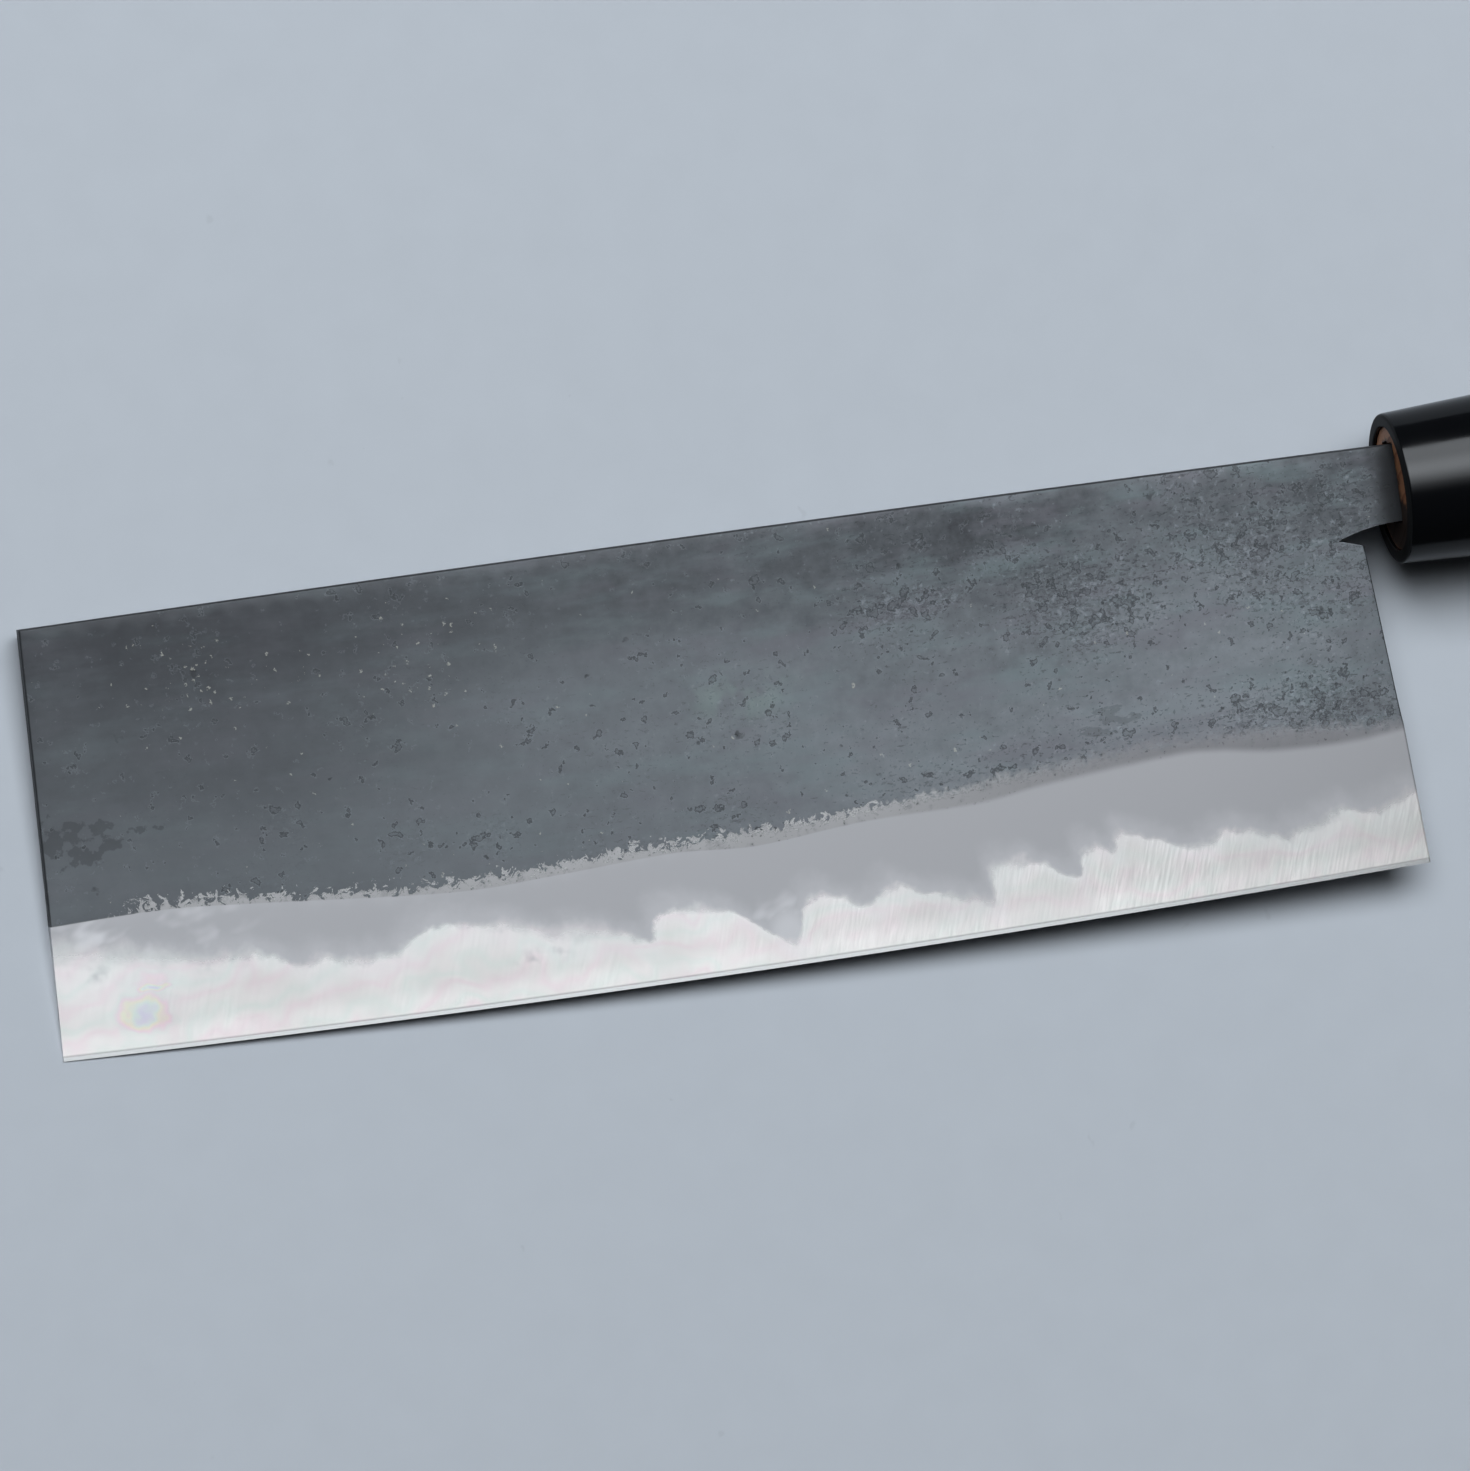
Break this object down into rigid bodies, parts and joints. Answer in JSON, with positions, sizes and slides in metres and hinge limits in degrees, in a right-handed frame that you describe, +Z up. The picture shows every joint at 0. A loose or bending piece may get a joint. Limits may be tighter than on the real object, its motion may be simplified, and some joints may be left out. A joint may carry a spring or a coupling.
{
  "type": "vegetable cleaver",
  "caption": "Rectangular vegetable cleaver with a black-forged laminated blade, wide ground bevel, short notched neck, glossy oval ferrule and swelling oval wooden handle.",
  "frame": {"origin": "on the table, under the middle of the knife's box as it lies on its right face", "axes": "+X along the knife from tip to butt, +Y from the edge towards the spine, +Z up from the table"},
  "size_m": [0.2908, 0.0602, 0.0215],
  "materials": {
    "edge_steel": "carbon steel, stone-polished bright towards the edge",
    "forged_iron": "soft iron with black forge scale above the grind line and a hazy grey grind below it",
    "black_resin": "moulded black resin, polished",
    "magnolia_wood": "fine sanded magnolia, bare"
  },
  "bodies": {
    "root": {"core_steel": "edge_steel", "cladding_left": "forged_iron", "cladding_right": "forged_iron", "ferrule": "black_resin", "handle_body": "magnolia_wood"}
  },
  "joints": []
}
